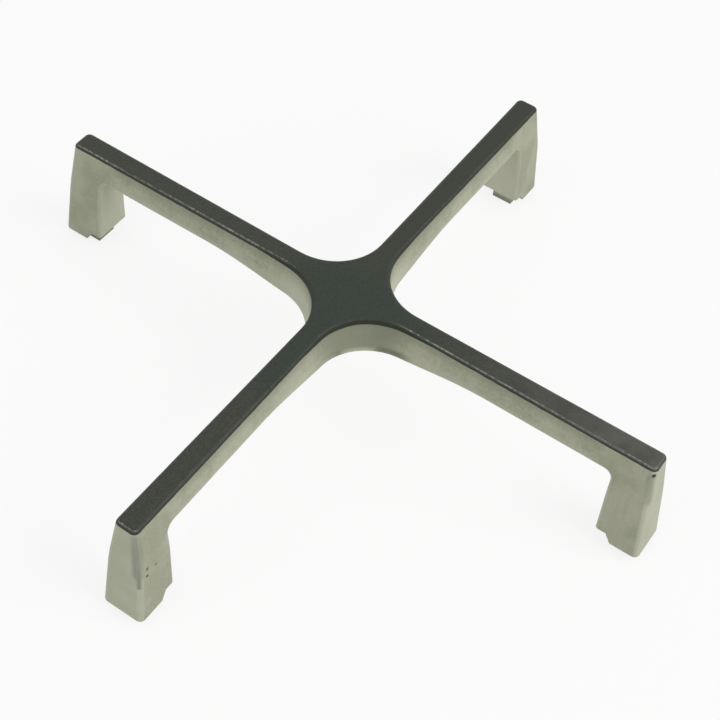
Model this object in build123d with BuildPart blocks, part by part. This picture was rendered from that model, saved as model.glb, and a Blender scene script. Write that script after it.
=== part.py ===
"""Hob pan support: a one-piece casting with four arms, a hollowed hub and four drafted legs on pegged feet.

Frame: +Z up, the pegs under the feet stand on Z = 0, and the arms lie along X and Y from the centre.
"""

import os
from math import cos, hypot, radians, sin, tan

from build123d import *

# Driving dimensions, in millimetres and degrees
height = 40.0               # toes of the feet to the face that carries the pan
arm_reach = 110.0           # centre to the tip of an arm, on the top face
arm_width_hub = 6.8         # width of the top face where the arms would cross
arm_width_tip = 7.8         # width of the top face at the tip
arm_depth = 10.0            # top face to the underside of the arm
hub_depth = 14.0            # top face to the underside of the hub, where the arms have grown deeper
hub_flat_radius = 9.0       # flat middle of the hub underneath
hub_swell_radius = 54.0     # where the underside of an arm starts to sink towards the hub
arm_count = 4
side_draft = 8.0            # how far the sides of the arms lean out
end_draft = 6.2             # how far the ends of the arms and legs lean out
hub_radius = 18.5           # hollow between two neighbouring arms, on the top face
inner_draft = 1.7           # how far the inner wall of a leg leans in under its arm
leg_length = 11.2           # tip of an arm to the inner wall of its leg, along the floor
leg_bend_height = 6.0       # below the shoulder, the height over which the leg's sides straighten
leg_draft = 2.6             # how far the sides of the leg still lean out below that
shoulder_height = 1.5       # plain stretch of leg between the hollow under the arm and that bend
crotch_radius = 3.0         # hollow where the underside meets a leg
end_corner_radius = 2.0     # upright corners at the end of an arm and leg
top_edge_radius = 1.4       # rounding all round the top face
under_edge_radius = 1.2     # rounding along the underside of the arms and down the legs
step_height = 4.2           # rise of the ledge at the inner side of a foot, above its toe
toe_set_back = 6.2          # inner wall of a leg to its toe, where the toe stands
toe_slope_run = 2.5         # how far the toe's inner wall leans in on its way up to the ledge
toe_edge_radius = 0.9       # rounding round the outer bottom edge of the toe
peg_drop = 2.4              # how far the peg under a foot reaches below the toe
peg_set_back = 3.3          # inner wall of a leg to the inner end of its peg
peg_length = 7.0            # along the arm
peg_width = 7.6             # across the arm
peg_edge_radius = 0.6       # rounding round the bottom of the peg

# Sizes that follow from them
top_level = peg_drop + height
underside = top_level - arm_depth
ledge_level = peg_drop + step_height
leg_inner_reach = arm_reach - leg_length
toe_reach = leg_inner_reach + toe_set_back
peg_reach = leg_inner_reach + peg_set_back + peg_length / 2       # middle of a peg
widening = (arm_width_tip - arm_width_hub) / 2 / arm_reach      # of each side, along the arm
shoulder = underside - crotch_radius - shoulder_height          # where the leg's sides start to straighten
upper_depth = max(top_level - shoulder, hub_depth)              # depth that the arms' own draft reaches
upper_level = top_level - upper_depth
side_spread = upper_depth * tan(radians(side_draft)) * hypot(1, widening)    # of each side, down to there
bar_start = leg_inner_reach - arm_width_tip                     # well inside the inner wall of a leg
bar_end = arm_reach + height                                    # well past the outer end of any foot
cut_reach = leg_inner_reach - step_height                       # starts a foot cutter clear of the leg
cut_width = 4 * arm_width_tip                                   # wider than any foot
top_plane = Plane(origin=(0, 0, top_level), z_dir=(0, 0, -1))   # looks down from the top face
near = 0.01                                                     # closer than this is the same place


def half_width(reach):
    """Half the width of the top face at a distance from the centre."""
    return arm_width_hub / 2 + widening * reach


def leg_section(reach):
    """Upright section of a leg below the shoulder: sides that go on from the arm's draft and straighten."""
    steep = radians(side_draft)
    upright = radians(leg_draft)
    middle = (steep + upright) / 2
    top = half_width(reach) + side_spread
    bend_radius = leg_bend_height / (sin(steep) - sin(upright))
    bow = top + bend_radius * (cos(middle) - cos(steep))
    bow_level = upper_level - bend_radius * (sin(steep) - sin(middle))
    bend = top + bend_radius * (cos(upright) - cos(steep))
    bend_level = upper_level - leg_bend_height
    foot = bend + (bend_level + step_height) * tan(upright)
    with BuildSketch(Plane.YZ.offset(reach), mode=Mode.PRIVATE) as section:
        with BuildLine():
            Line((-top, upper_level), (top, upper_level))
            ThreePointArc((top, upper_level), (bow, bow_level), (bend, bend_level))
            Line((bend, bend_level), (foot, -step_height))
            Line((foot, -step_height), (-foot, -step_height))
            Line((-foot, -step_height), (-bend, bend_level))
            ThreePointArc((-bend, bend_level), (-bow, bow_level), (-top, upper_level))
        make_face()
    return section.sketch


def edge_reach(edge):
    """How far out from the centre an edge goes, along X or Y."""
    box = edge.bounding_box()
    return max(abs(box.min.X), abs(box.max.X), abs(box.min.Y), abs(box.max.Y))


def off_mid_plane(edge):
    """True for an edge that runs beside the middle of its arm, not across it."""
    centre = edge.center()
    return min(abs(centre.X), abs(centre.Y)) > near


def is_end_corner(edge):
    """True for an upright edge at the outer end of an arm or leg, beside its middle."""
    box = edge.bounding_box()
    rises = box.max.Z - box.min.Z > under_edge_radius
    return rises and off_mid_plane(edge) and edge_reach(edge) > arm_reach


def inside_legs(edge):
    """True for an edge between the legs, no higher than the underside and not along its foot."""
    box = edge.bounding_box()
    return edge_reach(edge) < leg_inner_reach + near and box.center().Z > peg_drop + near and box.max.Z < underside + near


# The open space under the arms and between the legs, rounded where an arm turns into its leg
with BuildPart() as burner_space:
    with BuildSketch() as between_legs:
        Rectangle(2 * leg_inner_reach, 2 * leg_inner_reach)
    extrude(amount=underside, taper=inner_draft)
    fillet(burner_space.faces().sort_by(Axis.Z)[-1].edges(), crotch_radius)
    # The swell under the hub stands into it
    with BuildSketch(Plane.XZ) as swell:
        with BuildLine():
            Spline(
                (hub_flat_radius, top_level - hub_depth),
                (hub_swell_radius, underside),
                tangents=((1, 0), (1, 0)),
            )
            Polyline(
                (hub_swell_radius, underside),
                (0, underside),
                (0, top_level - hub_depth),
                (hub_flat_radius, top_level - hub_depth),
            )
        make_face()
    revolve(axis=Axis.Z, mode=Mode.SUBTRACT)

# The lower part of one leg, as a long bar of the leg's section
with BuildPart() as leg:
    loft([leg_section(bar_start), leg_section(bar_end)], ruled=True)

with BuildPart() as pan_support:
    # Cross of four widening arms with hollows between them, spreading down to the shoulders of the legs
    with BuildSketch(top_plane) as plan:
        with PolarLocations(0, arm_count):
            Polygon(
                (0, -half_width(0)),
                (bar_end, -half_width(bar_end)),
                (bar_end, half_width(bar_end)),
                (0, half_width(0)),
                align=None,
            )
        fillet([v for v in plan.vertices() if Vector(v.X, v.Y).length < arm_reach / 2], hub_radius)
    extrude(amount=upper_depth, taper=-side_draft)

    # Bars for the legs on down past the toes
    with PolarLocations(0, arm_count):
        add(leg.part)

    # Ends of the arms and legs, cut by the four walls and the floor of a drafted square
    with BuildSketch(top_plane) as tips:
        Rectangle(2 * arm_reach, 2 * arm_reach)
    extrude(amount=height, taper=-end_draft, mode=Mode.INTERSECT)

    # Open underside and the inner walls of the legs
    add(burner_space.part, mode=Mode.SUBTRACT)

    # Upright corners at the outer end of each arm and leg
    fillet([e for e in pan_support.edges() if is_end_corner(e)], end_corner_radius)

    # Long edges along the underside, through the hollow under each arm and down the leg
    fillet([e for e in pan_support.edges() if inside_legs(e) and off_mid_plane(e)], under_edge_radius)

    # Rounding all round the top face
    fillet(pan_support.faces().sort_by(Axis.Z)[-1].edges(), top_edge_radius)

    # Ledge at the inner side of each foot, with a sloping wall up from the toe
    with BuildSketch(Plane.XZ, mode=Mode.PRIVATE) as ledge:
        Polygon(
            (cut_reach, peg_drop),
            (toe_reach, peg_drop),
            (toe_reach - toe_slope_run, ledge_level),
            (cut_reach, ledge_level),
            align=None,
        )
    cutter = extrude(ledge.sketch, amount=cut_width, both=True, mode=Mode.PRIVATE)
    with PolarLocations(0, arm_count):
        add(cutter, mode=Mode.SUBTRACT)

    # Rounding round the outer bottom edge of each toe
    toe_edges = [e for e in pan_support.edges() if e.bounding_box().max.Z < peg_drop + near]
    fillet([e for e in toe_edges if edge_reach(e) > toe_reach + near], toe_edge_radius)

    # Peg in the middle of each foot, which keys it in its seat
    with BuildSketch(Plane.XY.offset(ledge_level)) as pegs:
        with PolarLocations(peg_reach, arm_count):
            Rectangle(peg_length, peg_width)
    extrude(amount=-ledge_level)
    fillet([e for e in pan_support.edges() if e.bounding_box().max.Z < near], peg_edge_radius)

pan_support.part.label = "pan_support"

os.makedirs("parts", exist_ok=True)
export_step(pan_support.part, "parts/pan_support.step")
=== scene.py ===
import math

import bpy
from mathutils import Matrix, Vector

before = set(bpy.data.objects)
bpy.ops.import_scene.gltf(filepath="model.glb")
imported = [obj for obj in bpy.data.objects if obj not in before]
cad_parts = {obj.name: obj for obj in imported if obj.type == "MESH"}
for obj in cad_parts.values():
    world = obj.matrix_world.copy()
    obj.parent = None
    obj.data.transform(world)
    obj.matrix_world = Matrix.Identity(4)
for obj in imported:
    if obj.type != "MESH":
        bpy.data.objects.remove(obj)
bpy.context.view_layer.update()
scene = bpy.context.scene
scene.view_settings.view_transform = "Standard"
print("frame loaded")

nodeGrid = {"inRow": 12, "step": 240, "top": -600}
wholeRange = (0.0, 1.0)


# nodes are laid out in rows, in the order they are made
def newNode(tree, kind, **settings):
    node = tree.nodes.new(kind)
    row, column = divmod(len(tree.nodes), nodeGrid["inRow"])
    node.location = (column * nodeGrid["step"], nodeGrid["top"] - row * nodeGrid["step"])
    for name, value in settings.items():
        setattr(node, name, value)
    return node


def feed(tree, socket, value):
    if isinstance(value, tuple) and len(socket.default_value) == 4:
        socket.default_value = (*value, 1.0)
    elif isinstance(value, (int, float, tuple)):
        socket.default_value = value
    else:
        tree.links.new(value, socket)


def combine(tree, operation, first, second):
    node = newNode(tree, "ShaderNodeMath", operation=operation)
    feed(tree, node.inputs[0], first)
    feed(tree, node.inputs[1], second)
    return node.outputs[0]


def product(tree, first, *others):
    for other in others:
        first = combine(tree, "MULTIPLY", first, other)
    return first


def vectors(tree, operation, first, second=None):
    node = newNode(tree, "ShaderNodeVectorMath", operation=operation)
    feed(tree, node.inputs[0], first)
    if second is not None:
        feed(tree, node.inputs["Scale"] if operation == "SCALE" else node.inputs[1], second)
    return node.outputs["Value" if operation in ("LENGTH", "DOT_PRODUCT") else "Vector"]


# a smooth change from low to high while the value runs through the pair of ends
def ramp(tree, value, ends, low=0.0, high=1.0):
    node = newNode(tree, "ShaderNodeMapRange", interpolation_type="SMOOTHSTEP")
    feed(tree, node.inputs["Value"], value)
    node.inputs["From Min"].default_value = ends[0]
    node.inputs["From Max"].default_value = ends[1]
    node.inputs["To Min"].default_value = low
    node.inputs["To Max"].default_value = high
    return node.outputs["Result"]


def blendColour(tree, amount, first, second):
    node = newNode(tree, "ShaderNodeMix", data_type="RGBA")
    feed(tree, node.inputs[0], amount)
    feed(tree, node.inputs[6], first)
    feed(tree, node.inputs[7], second)
    return node.outputs[2]


def blendValue(tree, amount, first, second):
    node = newNode(tree, "ShaderNodeMix", data_type="FLOAT")
    feed(tree, node.inputs[0], amount)
    feed(tree, node.inputs[2], first)
    feed(tree, node.inputs[3], second)
    return node.outputs[0]


def noise(tree, coords, scale, detail, seed):
    node = newNode(tree, "ShaderNodeTexNoise", noise_dimensions="4D")
    feed(tree, node.inputs["Vector"], coords)
    node.inputs["W"].default_value = seed
    node.inputs["Scale"].default_value = scale
    node.inputs["Detail"].default_value = detail
    return node.outputs["Fac"]


sandGrain = {
    "fineDetail": 3.0,
    "fineRoughness": 0.65,
    "broadDetail": 2.0,
    "speckleRange": (0.30, 0.70),   # part of each noise that is used
    "driftRange": (0.32, 0.68),
    "beadHeight": 0.6,              # round grains, against the speckle
}


# grain of a sand casting: fine speckle, broad drift and the height that goes with them
def castGrainGroup():
    group = bpy.data.node_groups.new("castGrain", "ShaderNodeTree")
    face = group.interface
    face.new_socket("Vector", in_out="INPUT", socket_type="NodeSocketVector")
    for name in ("Grain Scale", "Drift Scale"):
        face.new_socket(name, in_out="INPUT", socket_type="NodeSocketFloat")
    for name in ("Speckle", "Drift", "Height"):
        face.new_socket(name, in_out="OUTPUT", socket_type="NodeSocketFloat")
    start = newNode(group, "NodeGroupInput")
    end = newNode(group, "NodeGroupOutput")
    fine = newNode(group, "ShaderNodeTexNoise")
    fine.inputs["Detail"].default_value = sandGrain["fineDetail"]
    fine.inputs["Roughness"].default_value = sandGrain["fineRoughness"]
    broad = newNode(group, "ShaderNodeTexNoise")
    broad.inputs["Detail"].default_value = sandGrain["broadDetail"]
    sand = newNode(group, "ShaderNodeTexVoronoi", feature="F1")
    for node, scale in ((fine, "Grain Scale"), (broad, "Drift Scale"), (sand, "Grain Scale")):
        feed(group, node.inputs["Vector"], start.outputs["Vector"])
        feed(group, node.inputs["Scale"], start.outputs[scale])
    speckle = ramp(group, fine.outputs["Fac"], sandGrain["speckleRange"])
    drift = ramp(group, broad.outputs["Fac"], sandGrain["driftRange"])
    bead = combine(group, "MULTIPLY", sand.outputs["Distance"], sandGrain["beadHeight"])
    feed(group, end.inputs["Speckle"], speckle)
    feed(group, end.inputs["Drift"], drift)
    feed(group, end.inputs["Height"], combine(group, "ADD", speckle, bead))
    return group


def placeGrain(tree, group, coords, scales):
    node = newNode(tree, "ShaderNodeGroup", node_tree=group)
    feed(tree, node.inputs["Vector"], coords)
    node.inputs["Grain Scale"].default_value = scales["grain"]
    node.inputs["Drift Scale"].default_value = scales["drift"]
    return node


# finish of the casting: places in metres, linear colours, a reach from the middle of the cross, a level
# from the floor, and a slope or facing as a part of the surface's normal; a pair is where a change starts
# and ends, or the least and the most of an effect
casting = {
    "topGrain": {"grain": 1500.0, "drift": 70.0},
    "wallGrain": {"grain": 1000.0, "drift": 80.0},
    "topRoughness": (0.46, 0.62),
    "wallRoughness": (0.62, 0.78),
    "gloss": 0.25,
    "reliefStrength": 0.35,
    "reliefDepth": 0.0001,
    # dark coat of the top face
    "coatLow": (0.0320, 0.0360, 0.0265),
    "coatHigh": (0.0560, 0.0605, 0.0465),
    "coatHubLow": (0.0226, 0.0342, 0.0240),
    "coatHubHigh": (0.0388, 0.0508, 0.0380),
    "greenMiddle": (0.004, -0.018, 0.0),    # the coat is greener round this place
    "greenReach": (0.020, 0.040),           # from that place
    "farShadeReach": (0.006, 0.026),            # painted shade, along Y, on the +Y arm
    "farShadeShare": 0.6,
    # paler in patches towards the +X arm's end
    "coatLighter": (0.1080, 0.1110, 0.0950),
    "lighterReach": (0.030, 0.115),            # along X, on the +X arm
    "lighterShare": 0.9,
    "lighterPatches": (0.45, 1.0),
    # where the coat ends, on the rounded top edge
    "coatEdge": (0.0415, 0.0418),
    "coatWander": 0.00035,                  # how far that line strays
    "wander": {"scale": 260.0, "detail": 3.0, "seed": 3.0},
    "coatSag": 0.0011,                      # the coat comes lower in the hub's corners
    "sagReach": (0.0140, 0.0340),
    # painted shade on the lower part of the rounded top edge, darker than the coat
    "coatRimShade": (0.0200, 0.0215, 0.0150),
    "rimSlope": (0.80, 0.50),
    # thin pale line on that edge: a painted highlight, with the coat rubbed off in stretches
    "glintWornLine": (0.3500, 0.3550, 0.3150),
    "lineStart": (0.80, 0.90),
    "lineEnd": (0.985, 0.95),
    "lineReach": (0.0160, 0.0250),
    "lineFacing": (0.02, -0.20),            # along Y, mostly on the -Y sides
    "facingShare": (0.10, 1.0),
    "breaks": {"scale": 900.0, "detail": 2.0, "seed": 7.0},
    "lineBreaks": (0.35, 0.70),
    "breakShare": (0.15, 0.9),
    "stretches": {"scale": 55.0, "detail": 2.0, "seed": 11.0},
    "lineStretches": (0.38, 0.60),
    "stretchShare": (0.50, 1.0),
    # walls: partly bare casting, partly painted light from below
    "wall": (0.3750, 0.3850, 0.2880),
    # pale grain, and the tone for painted light on the walls
    "wallPaleAndLit": (0.4900, 0.5000, 0.3950),
    "wallDull": (0.2950, 0.3050, 0.2230),
    # painted shade on the walls
    "wallShade": (0.1900, 0.2050, 0.1450),
    "driftShare": (0.15, 1.0),
    "speckleShare": 0.45,
    "legSpeckle": 0.5,                      # speckle on the legs, against the arms
    "legReach": (0.088, 0.098),             # the legs start here
    "streaks": {"scale": 420.0, "detail": 2.0, "seed": 5.0},
    "streakStretch": (1.0, 1.0, 0.10),
    "streakRange": (0.45, 0.75),
    "streakShare": 0.40,
    "shadeLevel": (0.0370, 0.0414),         # painted shade on the arms' walls, growing up to the coat
    "shadeShare": 0.50,
    "lowerLightLevel": (0.0365, 0.0330),           # and painted light, growing down to the lower edge
    "lowerLightShare": 0.45,
    "endFacing": (0.70, 0.95),              # painted light on the outer ends of the legs, away from the middle
    "endShare": 0.50,
    "innerFacing": (-0.70, -0.95),          # painted light on their inner walls, towards it
    "innerShare": 1.0,
    "edgeTurn": (0.12, 0.42),               # painted highlight on the upright edges of the legs
    "edgeShare": 0.55,
    "lipSlope": (0.06, -0.20),              # painted light on lower edges and undersides
    "lipShare": 0.55,
    "pegLevel": (0.0034, 0.0014),           # painted shade on the lower ends of the pegs
    "pegShadeShare": 0.8,
    # corners of the hub: painted shade in the front one, darker along its lower edge, and painted light
    # in the others
    "frontCorner": (-0.003, 0.003),         # along X and Y, between the +X and -Y arms
    "frontShadeReach": (0.0165, 0.0280),
    "frontShadeLevel": (0.0296, 0.0318),
    "frontShadeShare": 0.75,
    "lowBandTone": (0.1150, 0.1250, 0.0800),
    "lowBandLevel": (0.0290, 0.0272),         # less the climb of the hub's lower edge
    "lowBandClimb": 0.19,                     # rise of that edge for its reach
    "lowBandStart": (0.0150, 0.0172),
    "lowBandEnd": (0.0215, 0.0290),
    "lowBandSide": (0.0048, 0.0070),          # along X, less of it next to the -Y arm
    "lowBandShare": 0.70,
    "cornerLightReach": (0.0165, 0.0300),
    "cornerLightLevel": (0.0390, 0.0340),
    # marks: even in the core, which is a share of the radius, and faded out at the radius
    "smearTone": (0.1750, 0.1800, 0.1500),
    "smearBreaks": (0.30, 0.60),
    "smearShare": (0.9, 1.0),
    "smears": [
        {
            "at": (0.0042, -0.1105, 0.0400),
            "to": (0.0052, -0.1120, 0.0240),
            "radius": 0.0028,
            "core": 0.2,
            "strength": 0.62,
        },
        {
            "at": (0.0052, -0.1111, 0.0330),
            "to": (0.0056, -0.1120, 0.0190),
            "radius": 0.0012,
            "core": 0.1,
            "strength": 0.75,
        },
        {
            "at": (0.1092, -0.0042, 0.0390),
            "to": (0.1110, -0.0046, 0.0290),
            "radius": 0.0022,
            "core": 0.0,
            "strength": 0.50,
        },
    ],
    "pitTone": (0.0300, 0.0310, 0.0230),
    "pitDepth": 6.0,                        # against the height of the grain
    "pits": [
        {"at": (0.00615, -0.10880, 0.02552), "radius": 0.00075, "core": 0.3, "strength": 0.80},
        {"at": (0.00642, -0.10931, 0.02266), "radius": 0.00085, "core": 0.3, "strength": 0.90},
        {"at": (0.00632, -0.10513, 0.02352), "radius": 0.00080, "core": 0.2, "strength": 0.60},
        {"at": (0.10958, -0.00375, 0.03996), "radius": 0.00100, "core": 0.4, "strength": 0.95},
    ],
}


# soft spots and strokes at places on the surface, the strongest one winning
def marksMask(tree, coords, marks):
    total = None
    for mark in marks:
        away = vectors(tree, "SUBTRACT", coords, mark["at"])
        if "to" in mark:
            stroke = Vector(mark["to"]) - Vector(mark["at"])
            share = vectors(tree, "DOT_PRODUCT", away, tuple(stroke / stroke.length_squared))
            share = combine(tree, "MAXIMUM", share, 0.0)
            share = combine(tree, "MINIMUM", share, 1.0)
            away = vectors(tree, "SUBTRACT", away, vectors(tree, "SCALE", tuple(stroke), share))
        ends = (mark["radius"] * mark["core"], mark["radius"])
        spot = ramp(tree, vectors(tree, "LENGTH", away), ends, mark["strength"], 0.0)
        total = spot if total is None else combine(tree, "MAXIMUM", total, spot)
    return total


# where a point of the surface lies and which way it faces
def surfacePlace(tree):
    place = newNode(tree, "ShaderNodeTexCoord")
    coords = place.outputs["Object"]
    normal = place.outputs["Normal"]
    spot = newNode(tree, "ShaderNodeSeparateXYZ")
    feed(tree, spot.inputs[0], coords)
    facing = newNode(tree, "ShaderNodeSeparateXYZ")
    feed(tree, facing.inputs[0], normal)
    flat = vectors(tree, "MULTIPLY", coords, (1.0, 1.0, 0.0))
    outward = vectors(tree, "NORMALIZE", flat)
    return {
        "coords": coords,
        "flat": flat,
        "x": spot.outputs["X"],
        "y": spot.outputs["Y"],
        "level": spot.outputs["Z"],
        "reach": vectors(tree, "LENGTH", flat),
        "faceX": facing.outputs["X"],
        "faceY": facing.outputs["Y"],
        "upward": facing.outputs["Z"],
        "heading": vectors(tree, "DOT_PRODUCT", outward, normal),
        "breaks": noise(tree, coords, **casting["breaks"]),
    }


def coatCover(tree, at):
    stray = noise(tree, at["coords"], **casting["wander"])
    stray = combine(tree, "MULTIPLY", stray, casting["coatWander"])
    lifted = combine(tree, "ADD", at["level"], stray)
    sag = ramp(tree, at["reach"], casting["sagReach"], casting["coatSag"], 0.0)
    lifted = combine(tree, "ADD", lifted, sag)
    return ramp(tree, lifted, casting["coatEdge"])


# painted highlight along the rounded top edge, broken like rubbed coat
def glintRubbedLine(tree, at):
    stretches = noise(tree, at["coords"], **casting["stretches"])
    return product(
        tree,
        ramp(tree, at["upward"], casting["lineStart"]),
        ramp(tree, at["upward"], casting["lineEnd"]),
        ramp(tree, at["breaks"], casting["lineBreaks"], *casting["breakShare"]),
        ramp(tree, at["faceY"], casting["lineFacing"], *casting["facingShare"]),
        ramp(tree, stretches, casting["lineStretches"], *casting["stretchShare"]),
        ramp(tree, at["reach"], casting["lineReach"]),
    )


# charcoal coat, greener at the hub, paler in patches along the +X arm, with painted shade on the +Y arm
# and the rounded edge and a painted highlight along that edge
def coatColour(tree, at, grain):
    speckle = grain.outputs["Speckle"]
    hubTone = blendColour(tree, speckle, casting["coatHubLow"], casting["coatHubHigh"])
    armTone = blendColour(tree, speckle, casting["coatLow"], casting["coatHigh"])
    away = vectors(tree, "SUBTRACT", at["flat"], casting["greenMiddle"])
    green = ramp(tree, vectors(tree, "LENGTH", away), casting["greenReach"])
    tone = blendColour(tree, green, hubTone, armTone)
    # painted shade on the far +Y arm
    farShade = ramp(tree, at["y"], casting["farShadeReach"], 0.0, casting["farShadeShare"])
    tone = blendColour(tree, farShade, tone, casting["coatLow"])
    # paler in patches towards the +X arm's end
    lighter = ramp(tree, at["x"], casting["lighterReach"], 0.0, casting["lighterShare"])
    patches = ramp(tree, grain.outputs["Drift"], wholeRange, *casting["lighterPatches"])
    lighter = combine(tree, "MULTIPLY", lighter, patches)
    tone = blendColour(tree, lighter, tone, casting["coatLighter"])
    # painted shade on the rounded edge
    rim = ramp(tree, at["upward"], casting["rimSlope"])
    tone = blendColour(tree, rim, tone, casting["coatRimShade"])
    return blendColour(tree, glintRubbedLine(tree, at), tone, casting["glintWornLine"])


def hubCorners(tree, at):
    inX = ramp(tree, at["x"], casting["frontCorner"])
    inY = ramp(tree, at["y"], casting["frontCorner"], 1.0, 0.0)
    front = combine(tree, "MULTIPLY", inX, inY)
    # painted shade in the front corner of the hub
    frontShade = product(
        tree,
        ramp(tree, at["reach"], casting["frontShadeReach"], casting["frontShadeShare"], 0.0),
        ramp(tree, at["level"], casting["frontShadeLevel"]),
        front,
    )
    climb = combine(tree, "MULTIPLY", at["reach"], casting["lowBandClimb"])
    above = combine(tree, "SUBTRACT", at["level"], climb)
    # darker band along the lower edge of the front corner
    lowBand = product(
        tree,
        ramp(tree, above, casting["lowBandLevel"], 0.0, casting["lowBandShare"]),
        ramp(tree, at["reach"], casting["lowBandStart"]),
        ramp(tree, at["reach"], casting["lowBandEnd"], 1.0, 0.0),
        front,
        ramp(tree, at["x"], casting["lowBandSide"]),
    )
    # painted light in the hub's other corners
    cornerLight = product(
        tree,
        ramp(tree, at["reach"], casting["cornerLightReach"], 1.0, 0.0),
        ramp(tree, at["level"], casting["cornerLightLevel"]),
        combine(tree, "SUBTRACT", 1.0, front),
    )
    return frontShade, lowBand, cornerLight


# pale casting, partly painted light from below, with painted shade below the coat and painted light on
# the legs' faces and along edges
def wallColour(tree, at, grain):
    onLeg = ramp(tree, at["reach"], casting["legReach"])
    onArm = ramp(tree, at["reach"], casting["legReach"], 1.0, 0.0)
    frontShade, lowBand, litCorners = hubCorners(tree, at)

    drift = ramp(tree, grain.outputs["Drift"], wholeRange, *casting["driftShare"])
    tone = blendColour(tree, drift, casting["wallDull"], casting["wall"])
    fine = ramp(tree, grain.outputs["Speckle"], wholeRange, 0.0, casting["speckleShare"])
    fine = combine(tree, "MULTIPLY", fine, blendValue(tree, onArm, casting["legSpeckle"], 1.0))
    tone = blendColour(tree, fine, tone, casting["wallPaleAndLit"])
    drawn = vectors(tree, "MULTIPLY", at["coords"], casting["streakStretch"])
    streaks = noise(tree, drawn, **casting["streaks"])
    streaks = ramp(tree, streaks, casting["streakRange"], 0.0, casting["streakShare"])
    tone = blendColour(tree, streaks, tone, casting["wallDull"])

    # painted shade on the arms' walls below the coat
    shade = ramp(tree, at["level"], casting["shadeLevel"], 0.0, casting["shadeShare"])
    shade = combine(tree, "MULTIPLY", shade, onArm)
    tone = blendColour(tree, shade, tone, casting["wallShade"])
    # painted light on the arms' walls towards the lower edge
    lowerLight = ramp(tree, at["level"], casting["lowerLightLevel"], 0.0, casting["lowerLightShare"])
    lowerLight = combine(tree, "MULTIPLY", lowerLight, onArm)
    tone = blendColour(tree, lowerLight, tone, casting["wallPaleAndLit"])
    # painted light in the hub's other corners
    tone = blendColour(tree, litCorners, tone, casting["wallPaleAndLit"])

    # painted light on the legs' outer ends and inner walls
    outer = ramp(tree, at["heading"], casting["endFacing"], 0.0, casting["endShare"])
    inner = ramp(tree, at["heading"], casting["innerFacing"], 0.0, casting["innerShare"])
    legFaceLight = combine(tree, "MAXIMUM", outer, inner)
    legFaceLight = combine(tree, "MULTIPLY", legFaceLight, onLeg)
    tone = blendColour(tree, legFaceLight, tone, casting["wallPaleAndLit"])

    # painted highlight on the legs' upright edges, painted light on lower edges
    turned = combine(tree, "MULTIPLY", at["faceX"], at["faceY"])
    turned = combine(tree, "ABSOLUTE", turned, 0.0)
    edges = ramp(tree, turned, casting["edgeTurn"], 0.0, casting["edgeShare"])
    edges = combine(tree, "MULTIPLY", edges, onLeg)
    lip = ramp(tree, at["upward"], casting["lipSlope"], 0.0, casting["lipShare"])
    edgeLight = combine(tree, "MAXIMUM", edges, lip)
    tone = blendColour(tree, edgeLight, tone, casting["wallPaleAndLit"])

    # painted shade in the front hub corner
    tone = blendColour(tree, frontShade, tone, casting["wallShade"])
    tone = blendColour(tree, lowBand, tone, casting["lowBandTone"])
    smear = marksMask(tree, at["coords"], casting["smears"])
    thin = ramp(tree, at["breaks"], casting["smearBreaks"], *casting["smearShare"])
    smear = combine(tree, "MULTIPLY", smear, thin)
    tone = blendColour(tree, smear, tone, casting["smearTone"])
    # painted shade on the pegs' lower ends
    pegShade = ramp(tree, at["level"], casting["pegLevel"], 0.0, casting["pegShadeShare"])
    return blendColour(tree, pegShade, tone, casting["wallShade"])


def castIronFinish():
    material = bpy.data.materials.new("coatedCastIron")
    material.use_nodes = True
    tree = material.node_tree
    shader = tree.nodes["Principled BSDF"]
    at = surfacePlace(tree)
    grainGroup = castGrainGroup()
    topGrain = placeGrain(tree, grainGroup, at["coords"], casting["topGrain"])
    wallGrain = placeGrain(tree, grainGroup, at["coords"], casting["wallGrain"])
    cover = coatCover(tree, at)
    pit = marksMask(tree, at["coords"], casting["pits"])

    # dark top over pale walls; the walls' paleness is partly painted light from below
    colour = blendColour(tree, cover, wallColour(tree, at, wallGrain), coatColour(tree, at, topGrain))
    colour = blendColour(tree, pit, colour, casting["pitTone"])
    feed(tree, shader.inputs["Base Color"], colour)
    topRough = ramp(tree, topGrain.outputs["Speckle"], wholeRange, *casting["topRoughness"])
    wallRough = ramp(tree, wallGrain.outputs["Speckle"], wholeRange, *casting["wallRoughness"])
    feed(tree, shader.inputs["Roughness"], blendValue(tree, cover, wallRough, topRough))
    shader.inputs["Specular IOR Level"].default_value = casting["gloss"]

    # relief: cast grain everywhere, pits sunk below it
    height = blendValue(tree, cover, wallGrain.outputs["Height"], topGrain.outputs["Height"])
    sunk = combine(tree, "MULTIPLY", pit, casting["pitDepth"])
    bump = newNode(tree, "ShaderNodeBump")
    bump.inputs["Strength"].default_value = casting["reliefStrength"]
    bump.inputs["Distance"].default_value = casting["reliefDepth"]
    feed(tree, bump.inputs["Height"], combine(tree, "SUBTRACT", height, sunk))
    feed(tree, shader.inputs["Normal"], bump.outputs["Normal"])
    return material


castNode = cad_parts["pan_support"]
castNode.data.materials.clear()
castNode.data.materials.append(castIronFinish())
print("casting finished")

studio = {
    "floorSize": 30.0,
    "floorTone": (0.92, 0.92, 0.92),
    "floorRoughness": 0.9,
    "floorGloss": 0.1,
    "whiteShare": 0.82,         # how much of the floor that the camera sees is plain white
    "white": (1.0, 1.0, 1.0),
    "skyTone": (1.0, 1.0, 0.985),
    "skyLevel": 0.58,
    "lampSize": 1.0,
    "lamps": {
        "key": {"at": (1.25, 0.25, 0.95), "power": 10.8},
        "fill": {"at": (-0.55, -1.15, 1.00), "power": 3.6},
    },
}


# rays that should find a white background: those of the camera and mirrored or refracted ones
def seenRays(tree):
    path = newNode(tree, "ShaderNodeLightPath")
    seen = combine(tree, "MAXIMUM", path.outputs["Is Camera Ray"], path.outputs["Is Glossy Ray"])
    return combine(tree, "MAXIMUM", seen, path.outputs["Is Transmission Ray"])


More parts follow.
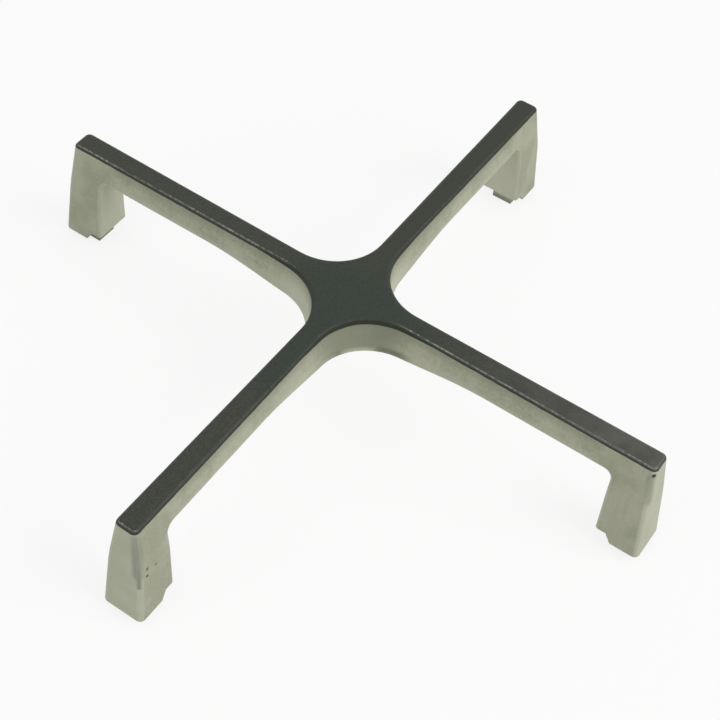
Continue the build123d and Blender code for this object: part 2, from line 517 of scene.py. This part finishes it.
def mixShaders(tree, share, first, second, output):
    mix = newNode(tree, "ShaderNodeMixShader")
    feed(tree, mix.inputs[0], share)
    feed(tree, mix.inputs[1], first.outputs[0])
    feed(tree, mix.inputs[2], second.outputs[0])
    feed(tree, tree.nodes[output].inputs["Surface"], mix.outputs[0])


def layFloor():
    half = studio["floorSize"] / 2
    corners = [(-half, -half, 0), (half, -half, 0), (half, half, 0), (-half, half, 0)]
    mesh = bpy.data.meshes.new("floor")
    mesh.from_pydata(corners, [], [(0, 1, 2, 3)])
    floor = bpy.data.objects.new("floor", mesh)
    scene.collection.objects.link(floor)
    material = bpy.data.materials.new("paleFloor")
    material.use_nodes = True
    tree = material.node_tree
    shader = tree.nodes["Principled BSDF"]
    feed(tree, shader.inputs["Base Color"], studio["floorTone"])
    shader.inputs["Roughness"].default_value = studio["floorRoughness"]
    shader.inputs["Specular IOR Level"].default_value = studio["floorGloss"]
    white = newNode(tree, "ShaderNodeEmission")
    feed(tree, white.inputs["Color"], studio["white"])
    share = combine(tree, "MULTIPLY", seenRays(tree), studio["whiteShare"])
    mixShaders(tree, share, shader, white, "Material Output")
    mesh.materials.append(material)


def lightStudio():
    world = bpy.data.worlds.new("softStudio")
    world.use_nodes = True
    tree = world.node_tree
    sky = tree.nodes["Background"]
    feed(tree, sky.inputs["Color"], studio["skyTone"])
    sky.inputs["Strength"].default_value = studio["skyLevel"]
    white = newNode(tree, "ShaderNodeBackground")
    feed(tree, white.inputs["Color"], studio["white"])
    mixShaders(tree, seenRays(tree), sky, white, "World Output")
    scene.world = world
    for name, settings in studio["lamps"].items():
        lamp = bpy.data.lights.new(name, "AREA")
        lamp.energy = settings["power"]
        lamp.size = studio["lampSize"]
        holder = bpy.data.objects.new(name, lamp)
        holder.location = settings["at"]
        holder.rotation_euler = (-Vector(settings["at"])).to_track_quat("-Z", "Y").to_euler()
        scene.collection.objects.link(holder)


layFloor()
lightStudio()
print("studio lit")

# camera found from the photograph's perspective: degrees, metres, and millimetres for lens and sensor
shot = {
    "azimuth": 29.689,
    "elevation": 51.075,
    "roll": 6.010,
    "aimLevel": 0.0424,         # level of the face that carries the pan
    "distance": 0.48909,
    "across": -0.002620,        # how far the aim lies off the middle of the picture
    "above": 0.022126,
    "lens": 78.325,
    "sensor": 36.0,
    "nearest": 0.01,
}


def placeCamera():
    turn, lift, roll = (math.radians(shot[name]) for name in ("azimuth", "elevation", "roll"))
    back = Vector((math.sin(turn) * math.cos(lift), -math.cos(turn) * math.cos(lift), math.sin(lift)))
    level = Vector((math.cos(turn), math.sin(turn), 0.0))
    up = back.cross(level)
    right = math.cos(roll) * level + math.sin(roll) * up
    up = math.cos(roll) * up - math.sin(roll) * level
    lens = bpy.data.cameras.new("camera")
    lens.lens = shot["lens"]
    lens.sensor_width = shot["sensor"]
    lens.clip_start = shot["nearest"]
    camera = bpy.data.objects.new("camera", lens)
    aim = Vector((0, 0, shot["aimLevel"]))
    spot = aim + shot["distance"] * back - shot["across"] * right - shot["above"] * up
    camera.matrix_world = Matrix.Translation(spot) @ Matrix((right, up, back)).transposed().to_4x4()
    scene.collection.objects.link(camera)
    scene.camera = camera


placeCamera()
print("camera placed")
